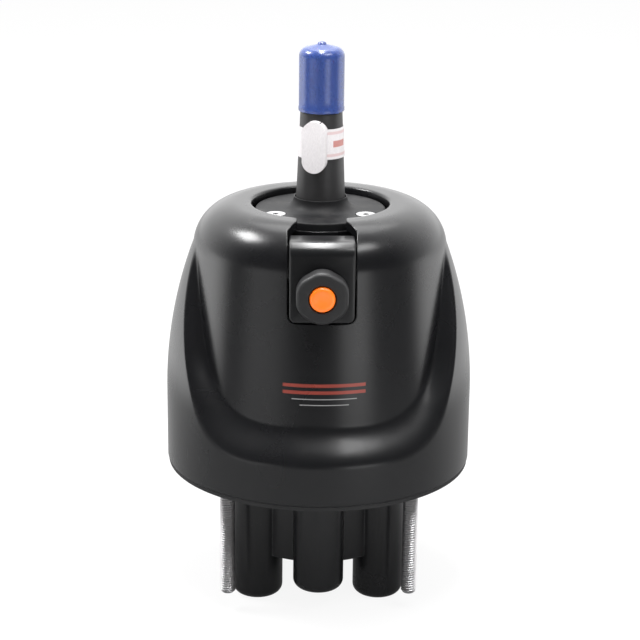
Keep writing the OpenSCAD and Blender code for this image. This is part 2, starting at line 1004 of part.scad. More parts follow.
module lock_spool() {
    color("#a9acb0")
        along_valve(1)
            rotate_extrude()
                polygon([[0, -15.2], [1.6, -15.2], [1.6, -10.5], [valve_r - run_gap, -10.5],
                    [valve_r - run_gap, -4], [4, -4], [4, 4], [valve_r - run_gap, 4],
                    [valve_r - run_gap, 10.5], [1.6, 10.5], [1.6, 15.2], [0, 15.2]]);
}

module valve_seats() {
    color("#8f9296")
        for (side = [-1, 1])
            along_valve(side)
                translate([0, 0, 15])
                    ring(valve_r - press_gap, 2.6, 3);
}

module check_poppet(side) {
    color("#c2c4c7")
        along_valve(side)
            rotate_extrude()
                polygon([[0, 16.45], [1, 16.45], [5, 20.45], [5, 25], [2.6, 25], [2.6, 27], [0, 27]]);
}

module check_spring(side) {
    color("#909398")
        along_valve(side)
            translate([0, 0, 25.05])
                wire_spring(3.7, 0.45, valve_end - 25.1, 4);
}

module check_poppet_left() {
    check_poppet(-1);
}

module check_poppet_right() {
    check_poppet(1);
}

module check_spring_left() {
    check_spring(-1);
}

module check_spring_right() {
    check_spring(1);
}

module valve_plugs() {
    color("#7c7f83")
        for (side = [-1, 1])
            along_valve(side)
                difference() {
                    translate([0, 0, valve_end])
                        cylinder(r = valve_plug_r - press_gap, h = 5.6);
                    translate([0, 0, valve_end + 2.6])
                        cylinder(r = 2.9, h = 5, $fn = 6);
                }
}

module comp_plug() {
    color("#7c7f83")
        at_lobe(0)
            difference() {
                translate([0, 0, -front_lobe_depth])
                    cylinder(r = port_r - press_gap, h = port_depth - 4);
                translate([0, 0, -front_lobe_depth - 1])
                    cylinder(r = 3, h = 5, $fn = 6);
            }
}

bell_cover();
cover_screws();
dash_gasket();
front_housing();
rear_flange();
rear_housing();
housing_seal();
housing_screws();
mounting_studs();
filler_block();
vent_plug();
vent_button();
vent_seal();
seal_retainer();
retainer_screws();
shaft_seal();
helm_shaft();
shaft_key();
shaft_label();
shaft_cap();
bearing_outer();
bearing_inner();
bearing_balls();
bearing_cage();
swash_plate();
swash_race();
cylinder_rotor();
pistons();
piston_springs();
valve_plate();
tail_bush();
lock_spool();
valve_seats();
check_poppet_left();
check_poppet_right();
check_spring_left();
check_spring_right();
valve_plugs();
comp_plug();
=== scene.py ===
import math
import bmesh
import bpy
from mathutils import Matrix, Vector


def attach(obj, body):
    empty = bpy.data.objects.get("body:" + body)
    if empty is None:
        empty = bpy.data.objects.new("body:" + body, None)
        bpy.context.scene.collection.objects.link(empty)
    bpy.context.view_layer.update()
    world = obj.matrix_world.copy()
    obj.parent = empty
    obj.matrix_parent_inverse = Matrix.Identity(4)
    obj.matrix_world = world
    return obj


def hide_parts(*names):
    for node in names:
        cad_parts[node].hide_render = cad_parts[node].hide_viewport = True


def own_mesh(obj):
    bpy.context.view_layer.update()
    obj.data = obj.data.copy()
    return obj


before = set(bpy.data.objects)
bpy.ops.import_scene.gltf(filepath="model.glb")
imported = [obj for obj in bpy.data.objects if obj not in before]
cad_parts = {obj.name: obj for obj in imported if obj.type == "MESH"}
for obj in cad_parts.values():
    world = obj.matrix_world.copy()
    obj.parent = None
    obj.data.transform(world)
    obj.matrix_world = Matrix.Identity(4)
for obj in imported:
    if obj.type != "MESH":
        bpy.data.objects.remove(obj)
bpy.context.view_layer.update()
scene = bpy.context.scene
mm = 0.001  # pieces are drawn in millimetres and scaled once
cutterSharp = 30


# small helpers for meshes

def penTo(bm, start, r, z, cuts=0):  # straight line of a profile, in the XZ plane
    end = bm.verts.new((r, 0, z))
    edge = bm.edges.new((start, end))
    if cuts:
        bmesh.ops.subdivide_edges(bm, edges=[edge], cuts=cuts)
        end = min(bm.verts, key=lambda v: (v.co - Vector((r, 0, z))).length)
    return end


def penArc(bm, start, centre, degrees, steps):  # arc of a profile, anticlockwise when positive
    made = bmesh.ops.spin(bm, geom=[start], cent=(centre[0], 0, centre[1]), axis=(0, -1, 0),
                          angle=math.radians(degrees), steps=steps)
    return [v for v in made["geom_last"] if isinstance(v, bmesh.types.BMVert)][0]


def spinRound(bm, steps):  # full turn about Z, closed and facing out
    bmesh.ops.spin(bm, geom=bm.verts[:] + bm.edges[:], cent=(0, 0, 0), axis=(0, 0, 1),
                   angle=2 * math.pi, steps=steps, use_merge=True)
    bmesh.ops.remove_doubles(bm, verts=bm.verts, dist=0.0005)
    bmesh.ops.recalc_face_normals(bm, faces=bm.faces)
    return bm


def turned(points, steps):
    bm = bmesh.new()
    pen = bm.verts.new((points[0][0], 0, points[0][1]))
    for r, z in points[1:]:
        pen = penTo(bm, pen, r, z)
    return spinRound(bm, steps)


def pushOut(bm, faces, way):  # flat faces pushed into a closed solid
    pushed = bmesh.ops.extrude_face_region(bm, geom=faces)["geom"]
    bmesh.ops.translate(bm, vec=way, verts=[v for v in pushed if isinstance(v, bmesh.types.BMVert)])
    bmesh.ops.recalc_face_normals(bm, faces=bm.faces)
    return bm


def roundEdges(bm, chosen, width, segments, clamp=False):
    bmesh.ops.bevel(bm, geom=chosen, offset=width, offset_type="OFFSET", affect="EDGES",
                    segments=segments, profile=0.5, material=-1, clamp_overlap=clamp)
    return bm


def prism(corners, depth, lift):  # outline in XY pushed up Z from lift
    bm = bmesh.new()
    face = bm.faces.new([bm.verts.new((x, y, lift)) for x, y in corners])
    return pushOut(bm, [face], (0, 0, depth))


def threadRod(rod):  # helical thread, cut flat at both ends
    bm = bmesh.new()
    pitch, root = rod["pitch"], rod["radius"] - rod["deep"]
    spare = 2  # turns past each end, cut off below
    turns = math.ceil((rod["to"] - rod["from"]) / pitch) + 2 * spare
    pen = bm.verts.new((root, 0, rod["from"] - spare * pitch))
    for r, rise in ((rod["radius"], 0.44), (rod["radius"], 0.56), (root, 1.0)):
        pen = penTo(bm, pen, r, rod["from"] + (rise - spare) * pitch)
    bmesh.ops.spin(bm, geom=bm.verts[:] + bm.edges[:], cent=(0, 0, 0), axis=(0, 0, 1),
                   angle=2 * math.pi * turns, steps=rod["steps"] * turns, dvec=(0, 0, pitch / rod["steps"]))
    bmesh.ops.remove_doubles(bm, verts=bm.verts, dist=0.002)
    for height, side in ((rod["from"], -1), (rod["to"], 1)):
        bmesh.ops.bisect_plane(bm, geom=bm.verts[:] + bm.edges[:] + bm.faces[:], dist=0.0001,
                               plane_co=(0, 0, height), plane_no=(0, 0, side), clear_outer=True)
    bmesh.ops.holes_fill(bm, edges=[e for e in bm.edges if e.is_boundary], sides=0)
    for v in bm.verts:  # chamfered tip
        r = math.hypot(v.co.x, v.co.y)
        most = rod["radius"] - rod["tip"] + abs(v.co.z - rod["tipAt"])
        if r > most:
            v.co.x, v.co.y = v.co.x * most / r, v.co.y * most / r
    bmesh.ops.recalc_face_normals(bm, faces=bm.faces)
    return bm


def closeLoop(bm, r, z, pen):  # joins the pen to the first point of a profile
    bm.edges.new((pen, min(bm.verts, key=lambda v: (v.co - Vector((r, 0, z))).length)))


def soften(bm, width, segments, angle):  # rounds every edge sharper than angle
    least = math.radians(angle)
    sharp = [e for e in bm.edges if len(e.link_faces) == 2 and e.calc_face_angle() > least]
    return roundEdges(bm, sharp, width, segments, clamp=True)


def place(bm, move=(0, 0, 0), turn=None):  # turned first, then moved
    if turn:
        about = Matrix.Rotation(math.radians(turn[0]), 3, turn[1])
        bmesh.ops.rotate(bm, cent=(0, 0, 0), matrix=about, verts=bm.verts)
    bmesh.ops.translate(bm, vec=move, verts=bm.verts)
    return bm


def gather(*parts):  # several bmeshes into one
    whole = bmesh.new()
    for bm in parts:
        loose = bpy.data.meshes.new("loose")
        bm.to_mesh(loose)
        bm.free()
        whole.from_mesh(loose)
        bpy.data.meshes.remove(loose)
    return whole


def rawPiece(name, bm, sharpAngle):
    bmesh.ops.scale(bm, vec=(mm, mm, mm), verts=bm.verts)
    for face in bm.faces:
        face.smooth = True
    mesh = bpy.data.meshes.new(name)
    bm.to_mesh(mesh)
    bm.free()
    mesh.set_sharp_from_angle(angle=math.radians(sharpAngle))
    piece = bpy.data.objects.new(name, mesh)
    scene.collection.objects.link(piece)
    return piece


def cutAway(piece, cutter, sharpAngle):  # boolean, applied at once
    cut = piece.modifiers.new("cut", "BOOLEAN")
    cut.object, cut.operation, cut.solver = cutter, "DIFFERENCE", "EXACT"
    cutPiece = piece.evaluated_get(bpy.context.evaluated_depsgraph_get())
    made = bpy.data.meshes.new_from_object(cutPiece)
    piece.modifiers.clear()
    made.name = piece.name
    piece.data = made
    made.set_sharp_from_angle(angle=math.radians(sharpAngle))
    bpy.data.objects.remove(cutter)


def fitPiece(piece, finish, body, *nodes):
    piece.data.materials.clear()
    piece.data.materials.append(finish)
    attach(piece, body)
    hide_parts(*nodes)
    return piece


# camera at the photo's viewing angle, closed in on the pump

cameraSet = {"away": 0.740, "height": 0.290, "azimuth": -1.1, "dip": 17.47, "yaw": -0.024,
             "roll": 0.6, "field": 18.75, "sensor": 36, "clip": 0.01}

turnBack = math.radians(cameraSet["azimuth"])
cameraData = bpy.data.cameras.new("camera")
cameraData.sensor_fit = "HORIZONTAL"
cameraData.sensor_width = cameraSet["sensor"]
cameraData.lens = cameraSet["sensor"] / 2 / math.tan(math.radians(cameraSet["field"] / 2))
cameraData.clip_start = cameraSet["clip"]
camera = bpy.data.objects.new("camera", cameraData)
camera.location = (cameraSet["away"] * math.sin(turnBack), -cameraSet["away"] * math.cos(turnBack),
                   cameraSet["height"])
heading = Matrix.Rotation(turnBack + math.radians(cameraSet["yaw"]), 3, "Z")
aim = heading @ Matrix.Rotation(math.radians(90 - cameraSet["dip"]), 3, "X")
camera.rotation_euler = (aim @ Matrix.Rotation(math.radians(cameraSet["roll"]), 3, "Z")).to_euler()
scene.collection.objects.link(camera)
scene.camera = camera
scene.view_settings.view_transform = "Standard"
print("camera placed")


# shader groups

def newGroup(name, inputs, outputs):
    tree = bpy.data.node_groups.new(name, "ShaderNodeTree")
    for label, value in inputs.items():
        socket = tree.interface.new_socket(name=label, in_out="INPUT", socket_type="NodeSocketFloat")
        socket.default_value = value
    for label in outputs:
        tree.interface.new_socket(name=label, in_out="OUTPUT", socket_type="NodeSocketFloat")
    return tree, tree.nodes.new("NodeGroupInput").outputs, tree.nodes.new("NodeGroupOutput").inputs


def add(tree, kind, values=None, **settings):  # node with its settings, values and links by socket
    node = tree.nodes.new("ShaderNode" + kind)
    for key, value in settings.items():
        setattr(node, key, value)
    for key, value in (values or {}).items():
        if isinstance(value, bpy.types.NodeSocket):
            tree.links.new(value, node.inputs[key])
        else:
            node.inputs[key].default_value = value
    return node


def calc(tree, operation, a, b=0.0, c=0.0, clamp=False):
    return add(tree, "Math", {0: a, 1: b, 2: c}, operation=operation, use_clamp=clamp).outputs[0]


def ramp(tree, value, low, high, toLow=0.0, toHigh=1.0):
    return add(tree, "MapRange", {"Value": value, "From Min": low, "From Max": high, "To Min": toLow,
                                  "To Max": toHigh}, interpolation_type="SMOOTHSTEP").outputs[0]


def objectPoint(tree):
    return add(tree, "TexCoord").outputs["Object"]


grain, gi, go = newGroup("castGrain", {"Scale": 900.0, "Pebble": 0.5}, ["Height", "Speck"])
point = objectPoint(grain)
fine = add(grain, "TexNoise", {"Vector": point, "Scale": gi["Scale"], "Detail": 5.0, "Roughness": 0.6}).outputs[0]
cells = add(grain, "TexVoronoi", {"Vector": point, "Scale": calc(grain, "MULTIPLY", gi["Scale"], 0.55),
                                  "Smoothness": 0.7}, feature="SMOOTH_F1").outputs[0]
mixed = add(grain, "Mix", {"Factor": gi["Pebble"], 2: fine, 3: cells}).outputs[0]
grain.links.new(mixed, go["Height"])
grain.links.new(ramp(grain, fine, 0.62, 0.74), go["Speck"])

marks, gi, go = newGroup("handlingMarks", {"Patch": 38.0, "Low": 0.5, "High": 0.72},
                         ["Rub", "Cloud", "Hairline"])
point = objectPoint(marks)
broad = add(marks, "TexNoise", {"Vector": point, "Scale": gi["Patch"], "Detail": 6.0, "Roughness": 0.62}).outputs[0]
slow = add(marks, "TexNoise", {"Vector": point, "Scale": calc(marks, "MULTIPLY", gi["Patch"], 0.35),
                               "Detail": 2.0}).outputs[0]
slant = add(marks, "Mapping", {"Vector": point, "Rotation": (0.5, 0.9, 0.3), "Scale": (1.0, 14.0, 1.0)}).outputs[0]
streak = add(marks, "TexNoise", {"Vector": slant, "Scale": calc(marks, "MULTIPLY", gi["Patch"], 2.2),
                                 "Detail": 2.0}).outputs[0]
rubs = add(marks, "MapRange", {"Value": broad, "From Min": gi["Low"], "From Max": gi["High"]}).outputs[0]
marks.links.new(rubs, go["Rub"])
marks.links.new(slow, go["Cloud"])
marks.links.new(ramp(marks, streak, 0.7, 0.76), go["Hairline"])

edges, gi, go = newGroup("edgeRub", {"Radius": 0.0006, "Strength": 6.0}, ["Mask"])
rounded = add(edges, "Bevel", {"Radius": gi["Radius"]}, samples=4).outputs[0]
facing = add(edges, "NewGeometry").outputs["Normal"]
across = add(edges, "VectorMath", {0: rounded, 1: facing}, operation="DOT_PRODUCT").outputs["Value"]
bare = calc(edges, "MULTIPLY", calc(edges, "SUBTRACT", 1.0, across), gi["Strength"])
chips = add(edges, "TexNoise", {"Vector": objectPoint(edges), "Scale": 260.0, "Detail": 4.0}).outputs[0]
edges.links.new(calc(edges, "MULTIPLY", bare, ramp(edges, chips, 0.35, 0.65), clamp=True), go["Mask"])

dust, gi, go = newGroup("settledDust", {"Amount": 0.3}, ["Mask"])
upward = add(dust, "SeparateXYZ", {0: add(dust, "NewGeometry").outputs["Normal"]}).outputs[2]
lint = add(dust, "TexNoise", {"Vector": objectPoint(dust), "Scale": 120.0, "Detail": 8.0,
                              "Roughness": 0.7}).outputs[0]
soft = calc(dust, "MULTIPLY", ramp(dust, upward, 0.35, 1.0), ramp(dust, lint, 0.42, 0.78))
dust.links.new(calc(dust, "MULTIPLY", soft, gi["Amount"], clamp=True), go["Mask"])

lathe, gi, go = newGroup("latheLines", {"Lines": 5200.0, "Wander": 0.3}, ["Height", "Tone"])
axes = add(lathe, "SeparateXYZ", {0: objectPoint(lathe)}).outputs
along = add(lathe, "CombineXYZ", {0: calc(lathe, "MULTIPLY", axes[0], 14.0),
                                  1: calc(lathe, "MULTIPLY", axes[1], 14.0),
                                  2: calc(lathe, "MULTIPLY", axes[2], gi["Lines"])}).outputs[0]
cutLine = add(lathe, "TexNoise", {"Vector": along, "Scale": 1.0, "Detail": 3.0,
                                  "Distortion": gi["Wander"]}).outputs[0]
lathe.links.new(cutLine, go["Height"])
lathe.links.new(ramp(lathe, cutLine, 0.3, 0.7), go["Tone"])

field, gi, go = newGroup("printedField", {"Middle X": 0.0, "Middle Z": 0.0, "Half Width": 0.01,
                                          "Half Height": 0.001}, ["Mask"])
axes = add(field, "SeparateXYZ", {0: objectPoint(field)}).outputs
aside = calc(field, "ABSOLUTE", calc(field, "SUBTRACT", axes[0], gi["Middle X"]))
above = calc(field, "ABSOLUTE", calc(field, "SUBTRACT", axes[2], gi["Middle Z"]))
wide = calc(field, "SUBTRACT", gi["Half Width"], aside)
tall = calc(field, "SUBTRACT", gi["Half Height"], above)
inside = calc(field, "MULTIPLY", ramp(field, wide, 0.0, 0.0003), ramp(field, tall, 0.0, 0.0003))
field.links.new(calc(field, "MULTIPLY", inside, calc(field, "LESS_THAN", axes[1], 0.0)), go["Mask"])
print("shader groups made")


# finishes

def use(tree, group, **values):
    node = tree.nodes.new("ShaderNodeGroup")
    node.node_tree = group
    for key, value in values.items():
        node.inputs[key.replace("_", " ")].default_value = value
    return node.outputs


def tint(tree, factor, a, b):  # colour mix; a and b are colours or sockets
    node = add(tree, "Mix", data_type="RGBA")
    for socket, value in ((node.inputs[0], factor), (node.inputs[6], a), (node.inputs[7], b)):
        if isinstance(value, bpy.types.NodeSocket):
            tree.links.new(value, socket)
        else:
            socket.default_value = value if isinstance(value, float) else (*value, 1.0)
    return node.outputs[2]


def newFinish(name, **constants):
    finish = bpy.data.materials.new(name)
    finish.use_nodes = True
    tree = finish.node_tree
    shader = tree.nodes["Principled BSDF"]
    for key, value in constants.items():
        shader.inputs[key.replace("_", " ")].default_value = value
    return finish, tree, shader


def bump(tree, shader, height, strength, distance, base=None):
    node = add(tree, "Bump", {"Height": height, "Strength": strength, "Distance": distance})
    if base is not None:
        tree.links.new(base, node.inputs["Normal"])
    tree.links.new(node.outputs[0], shader.inputs["Normal"])


def blackFinish(name, look):  # painted or moulded black, worn lightly
    finish, tree, shader = newFinish(name, Specular_IOR_Level=look["gloss"], Coat_Weight=look["coat"],
                                     Coat_Roughness=0.16)
    texture = use(tree, grain, Scale=look["grain"], Pebble=look["pebble"])
    handled = use(tree, marks, Patch=look["patch"], Low=0.48, High=0.8)
    rubbed = use(tree, edges, Radius=look["edge"], Strength=look["rub"])["Mask"]
    settled = use(tree, dust, Amount=look["dust"])["Mask"]
    colour = tint(tree, handled["Cloud"], look["dark"], look["light"])
    colour = tint(tree, calc(tree, "MULTIPLY", texture["Speck"], 0.25), colour, look["worn"])
    colour = tint(tree, calc(tree, "MULTIPLY", rubbed, 0.6), colour, look["worn"])
    colour = tint(tree, settled, colour, (0.22, 0.21, 0.2))
    for bar in look.get("print", []):
        mask = use(tree, field, Middle_X=0.0012, Middle_Z=bar["z"], Half_Width=bar["wide"],
                   Half_Height=bar["tall"])["Mask"]
        colour = tint(tree, calc(tree, "MULTIPLY", mask, bar["ink"]), colour, bar["colour"])
    tree.links.new(colour, shader.inputs["Base Color"])
    rough = calc(tree, "MULTIPLY_ADD", handled["Cloud"], 0.12, look["rough"] - 0.06)
    rough = calc(tree, "MULTIPLY_ADD", handled["Rub"], 0.05, rough)
    rough = calc(tree, "MULTIPLY_ADD", handled["Hairline"], 0.03, rough)
    rough = calc(tree, "MULTIPLY_ADD", settled, 0.3, rough, clamp=True)
    tree.links.new(rough, shader.inputs["Roughness"])
    bump(tree, shader, texture["Height"], look["relief"], 0.0002,
         add(tree, "Bevel", {"Radius": look["edge"]}, samples=4).outputs[0])
    return finish


def metalFinish(name, look):  # bright or dark metal with tool lines
    finish, tree, shader = newFinish(name, Metallic=look["metal"], Specular_IOR_Level=0.5)
    turnedLines = use(tree, lathe, Lines=look["lines"])
    handled = use(tree, marks, Patch=look["patch"], Low=0.5, High=0.8)
    rubbed = use(tree, edges, Radius=0.0004, Strength=5.0)["Mask"]
    colour = tint(tree, handled["Cloud"], look["dark"], look["light"])
    colour = tint(tree, calc(tree, "MULTIPLY", turnedLines["Tone"], 0.35), colour, look["light"])
    colour = tint(tree, calc(tree, "MULTIPLY", handled["Rub"], look["stain"]), colour, look["tarnish"])
    colour = tint(tree, calc(tree, "MULTIPLY", rubbed, 0.5), colour, look["bare"])
    tree.links.new(colour, shader.inputs["Base Color"])
    rough = calc(tree, "MULTIPLY_ADD", turnedLines["Tone"], 0.1, look["rough"] - 0.05)
    rough = calc(tree, "MULTIPLY_ADD", handled["Rub"], 0.1, rough, clamp=True)
    tree.links.new(rough, shader.inputs["Roughness"])
    bump(tree, shader, turnedLines["Height"], look["relief"], 0.0001,
         add(tree, "Bevel", {"Radius": 0.0003}, samples=4).outputs[0])
    return finish


def rubberFinish(name, look):
    finish, tree, shader = newFinish(name, Specular_IOR_Level=0.35)
    texture = use(tree, grain, Scale=look["grain"], Pebble=0.3)
    handled = use(tree, marks, Patch=60.0, Low=0.45, High=0.75)
    settled = use(tree, dust, Amount=0.4)["Mask"]
    colour = tint(tree, handled["Cloud"], look["dark"], look["light"])
    colour = tint(tree, settled, colour, (0.16, 0.15, 0.14))
    tree.links.new(colour, shader.inputs["Base Color"])
    rough = calc(tree, "MULTIPLY_ADD", handled["Rub"], 0.2, look["rough"], clamp=True)
    tree.links.new(rough, shader.inputs["Roughness"])
    bump(tree, shader, texture["Height"], 0.25, 0.0002)
    return finish


bellLook = {"gloss": 0.36, "coat": 0.12, "grain": 2600.0, "pebble": 0.3, "patch": 26.0,
            "edge": 0.0006, "rub": 3.0, "dust": 0.05,
            "dark": (0.0044, 0.0045, 0.0051), "light": (0.0076, 0.0077, 0.0086), "worn": (0.045, 0.045, 0.047),
            "rough": 0.27, "relief": 0.015,
            "print": [{"z": 0.0474, "wide": 0.0158, "tall": 0.0008, "ink": 0.5, "colour": (0.36, 0.05, 0.03)},
                      {"z": 0.0447, "wide": 0.0158, "tall": 0.0008, "ink": 0.5, "colour": (0.36, 0.05, 0.03)},
                      {"z": 0.0421, "wide": 0.0125, "tall": 0.0003, "ink": 0.45, "colour": (0.5, 0.5, 0.5)},
                      {"z": 0.0398, "wide": 0.0095, "tall": 0.0003, "ink": 0.45, "colour": (0.5, 0.5, 0.5)}]}
castLook = {"gloss": 0.36, "coat": 0.1, "grain": 1500.0, "pebble": 0.5, "patch": 40.0,
            "edge": 0.0008, "rub": 4.0, "dust": 0.05,
            "dark": (0.006, 0.0061, 0.0067), "light": (0.011, 0.0111, 0.012), "worn": (0.07, 0.07, 0.072),
            "rough": 0.28, "relief": 0.1}
blockLook = {"gloss": 0.36, "coat": 0.25, "grain": 2400.0, "pebble": 0.3, "patch": 34.0,
             "edge": 0.0005, "rub": 4.0, "dust": 0.05,
             "dark": (0.0048, 0.0049, 0.0055), "light": (0.0082, 0.0083, 0.0092), "worn": (0.05, 0.05, 0.052),
             "rough": 0.32, "relief": 0.04}
plugLook = {"gloss": 0.36, "coat": 0.0, "grain": 2000.0, "pebble": 0.5, "patch": 60.0,
            "edge": 0.0006, "rub": 4.0, "dust": 0.05,
            "dark": (0.010, 0.010, 0.0105), "light": (0.018, 0.018, 0.019), "worn": (0.06, 0.06, 0.06),
            "rough": 0.45, "relief": 0.08}
retainerLook = {"gloss": 0.16, "coat": 0.0, "grain": 1800.0, "pebble": 0.4, "patch": 70.0,
                "edge": 0.0005, "rub": 5.0, "dust": 0.12,
                "dark": (0.0075, 0.0077, 0.0085), "light": (0.014, 0.014, 0.015), "worn": (0.09, 0.09, 0.09),
                "rough": 0.5, "relief": 0.08}
bellBlack = blackFinish("bellBlack", bellLook)
castBlack = blackFinish("castBlack", castLook)
blockBlack = blackFinish("blockBlack", blockLook)
plugBlack = blackFinish("plugBlack", plugLook)
retainerBlack = blackFinish("retainerBlack", retainerLook)

phosphateShaft = metalFinish("phosphateShaft", {
    "metal": 0.35, "lines": 4200.0, "patch": 90.0, "dark": (0.021, 0.021, 0.022), "light": (0.042, 0.041, 0.042),
    "tarnish": (0.018, 0.017, 0.016), "stain": 0.5, "bare": (0.12, 0.12, 0.12), "rough": 0.46, "relief": 0.12})
zincSteel = metalFinish("zincSteel", {
    "metal": 1.0, "lines": 3000.0, "patch": 120.0, "dark": (0.62, 0.61, 0.62), "light": (0.78, 0.77, 0.78),
    "tarnish": (0.45, 0.44, 0.43), "stain": 0.4, "bare": (0.85, 0.85, 0.85), "rough": 0.46, "relief": 0.05})
screwSteel = metalFinish("screwSteel", {
    "metal": 1.0, "lines": 900.0, "patch": 300.0, "dark": (0.44, 0.44, 0.45), "light": (0.58, 0.58, 0.58),
    "tarnish": (0.4, 0.39, 0.38), "stain": 0.35, "bare": (0.66, 0.66, 0.66), "rough": 0.4, "relief": 0.04})
groundSteel = metalFinish("groundSteel", {
    "metal": 1.0, "lines": 7000.0, "patch": 90.0, "dark": (0.42, 0.42, 0.43), "light": (0.58, 0.58, 0.58),
    "tarnish": (0.3, 0.29, 0.27), "stain": 0.4, "bare": (0.7, 0.7, 0.7), "rough": 0.22, "relief": 0.05})
springSteel = metalFinish("springSteel", {
    "metal": 1.0, "lines": 900.0, "patch": 200.0, "dark": (0.3, 0.3, 0.31), "light": (0.45, 0.45, 0.46),
    "tarnish": (0.2, 0.19, 0.18), "stain": 0.5, "bare": (0.55, 0.55, 0.55), "rough": 0.32, "relief": 0.05})
rotorSteel = metalFinish("rotorSteel", {
    "metal": 1.0, "lines": 2600.0, "patch": 60.0, "dark": (0.28, 0.28, 0.28), "light": (0.42, 0.41, 0.4),
    "tarnish": (0.2, 0.18, 0.15), "stain": 0.5, "bare": (0.6, 0.6, 0.58), "rough": 0.38, "relief": 0.08})
plateBronze = metalFinish("plateBronze", {
    "metal": 1.0, "lines": 3200.0, "patch": 80.0, "dark": (0.42, 0.33, 0.2), "light": (0.56, 0.46, 0.3),
    "tarnish": (0.25, 0.17, 0.1), "stain": 0.5, "bare": (0.7, 0.58, 0.38), "rough": 0.34, "relief": 0.06})
bushBrass = metalFinish("bushBrass", {
    "metal": 1.0, "lines": 4200.0, "patch": 110.0, "dark": (0.5, 0.34, 0.12), "light": (0.66, 0.47, 0.18),
    "tarnish": (0.3, 0.19, 0.07), "stain": 0.45, "bare": (0.8, 0.6, 0.28), "rough": 0.3, "relief": 0.06})
plugZinc = metalFinish("plugZinc", {
    "metal": 1.0, "lines": 2200.0, "patch": 140.0, "dark": (0.34, 0.34, 0.35), "light": (0.48, 0.48, 0.49),
    "tarnish": (0.25, 0.24, 0.22), "stain": 0.45, "bare": (0.6, 0.6, 0.6), "rough": 0.34, "relief": 0.06})
gasketRubber = rubberFinish("gasketRubber", {
    "grain": 1200.0, "dark": (0.010, 0.010, 0.011), "light": (0.02, 0.02, 0.021), "rough": 0.6})
sealRubber = rubberFinish("sealRubber", {
    "grain": 1600.0, "dark": (0.05, 0.03, 0.02), "light": (0.08, 0.05, 0.034), "rough": 0.5})
cageNylon = rubberFinish("cageNylon", {
    "grain": 1500.0, "dark": (0.32, 0.26, 0.17), "light": (0.42, 0.35, 0.24), "rough": 0.42})


# soft blue vinyl of the thread cap
vinylLook = {"deep": (0.019, 0.041, 0.165), "pale": (0.030, 0.058, 0.215), "worn": (0.09, 0.12, 0.38),
             "rough": 0.26}
capVinyl, tree, shader = newFinish("capVinyl", Specular_IOR_Level=0.5, Coat_Weight=0.25, Coat_Roughness=0.18,
                                   Subsurface_Weight=0.08, Subsurface_Scale=0.002)
handled = use(tree, marks, Patch=70.0, Low=0.45, High=0.75)
texture = use(tree, grain, Scale=700.0, Pebble=0.6)
colour = tint(tree, handled["Cloud"], vinylLook["deep"], vinylLook["pale"])
rubbed = use(tree, edges, Radius=0.0012, Strength=3.0)["Mask"]
colour = tint(tree, calc(tree, "MULTIPLY", rubbed, 0.5), colour, vinylLook["worn"])
tree.links.new(colour, shader.inputs["Base Color"])
rough = calc(tree, "MULTIPLY_ADD", handled["Rub"], 0.12, vinylLook["rough"], clamp=True)
tree.links.new(rough, shader.inputs["Roughness"])
dip = add(tree, "TexNoise", {"Vector": objectPoint(tree), "Scale": 160.0, "Detail": 2.0}).outputs[0]
bump(tree, shader, calc(tree, "MULTIPLY_ADD", texture["Height"], 0.15, dip), 0.22, 0.0004)

# glossy orange of the vent button
ventLook = {"deep": (0.82, 0.115, 0.004), "pale": (0.98, 0.19, 0.008), "rough": 0.28}
ventOrange, tree, shader = newFinish("ventOrange", Specular_IOR_Level=0.5, Coat_Weight=0.15, Coat_Roughness=0.15)
handled = use(tree, marks, Patch=180.0, Low=0.45, High=0.75)
texture = use(tree, grain, Scale=2200.0, Pebble=0.4)
tree.links.new(tint(tree, handled["Cloud"], ventLook["deep"], ventLook["pale"]), shader.inputs["Base Color"])
rough = calc(tree, "MULTIPLY_ADD", handled["Rub"], 0.1, ventLook["rough"], clamp=True)
tree.links.new(rough, shader.inputs["Roughness"])
bump(tree, shader, texture["Height"], 0.06, 0.0002)

# paper label that keeps the key on the shaft
paperLook = {"white": (0.70, 0.675, 0.685), "shade": (0.62, 0.595, 0.605), "blush": (0.56, 0.34, 0.34),
             "red": (0.42, 0.06, 0.03), "rough": 0.5, "bands": (0.1262, 0.1348)}
labelPaper, tree, shader = newFinish("labelPaper", Specular_IOR_Level=0.3)
upright = add(tree, "Mapping", {"Vector": objectPoint(tree), "Scale": (1.0, 1.0, 0.35)}).outputs[0]
fibre = add(tree, "TexNoise", {"Vector": upright, "Scale": 2600.0, "Detail": 6.0, "Roughness": 0.7}).outputs[0]
handled = use(tree, marks, Patch=160.0, Low=0.5, High=0.8)
colour = tint(tree, ramp(tree, fibre, 0.35, 0.7), paperLook["shade"], paperLook["white"])
for z in paperLook["bands"]:
    band = use(tree, field, Middle_X=0.0075, Middle_Z=z, Half_Width=0.0055, Half_Height=0.0007)["Mask"]
    colour = tint(tree, calc(tree, "MULTIPLY", band, 0.6), colour, paperLook["blush"])
patch = use(tree, field, Middle_X=0.0066, Middle_Z=0.1305, Half_Width=0.0022, Half_Height=0.0014)["Mask"]
ink = calc(tree, "MULTIPLY", patch, ramp(tree, handled["Cloud"], 0.3, 0.7, 0.7, 0.95))
colour = tint(tree, ink, colour, paperLook["red"])
tree.links.new(colour, shader.inputs["Base Color"])
rough = calc(tree, "MULTIPLY_ADD", handled["Rub"], 0.15, paperLook["rough"], clamp=True)
tree.links.new(rough, shader.inputs["Roughness"])
bump(tree, shader, fibre, 0.15, 0.0002)
print("finishes made")


# every CAD node takes a finish, those replaced below too

